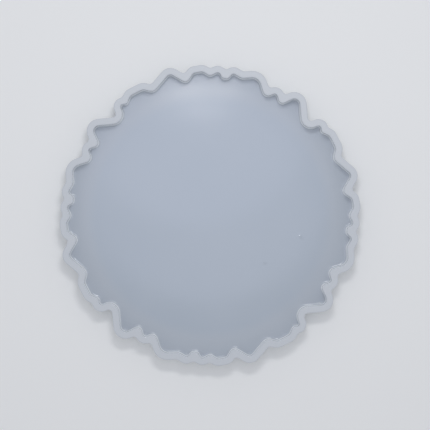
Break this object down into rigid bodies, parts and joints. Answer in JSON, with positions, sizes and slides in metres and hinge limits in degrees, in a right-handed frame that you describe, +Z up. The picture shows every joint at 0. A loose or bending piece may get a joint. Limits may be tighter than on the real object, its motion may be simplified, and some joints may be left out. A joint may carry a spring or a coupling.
{
  "type": "resin casting mould",
  "caption": "Round open-topped casting mould for a coaster: flat glossy floor and a thin upright wall whose outline wavers like the edge of a cut geode, with a softly rounded rim.",
  "frame": {"origin": "centre of the underside, on the surface that the mould stands on", "axes": "+Z up, out of the open cavity; X and Y lie in the underside, and the outline repeats every quarter turn about Z"},
  "size_m": [0.1016, 0.1016, 0.009],
  "materials": {
    "silicone": "smooth satin translucent silicone, glossy on the cavity floor"
  },
  "bodies": {
    "root": {"floor_pan": "silicone", "side_wall": "silicone", "rim_lip": "silicone"}
  },
  "joints": []
}
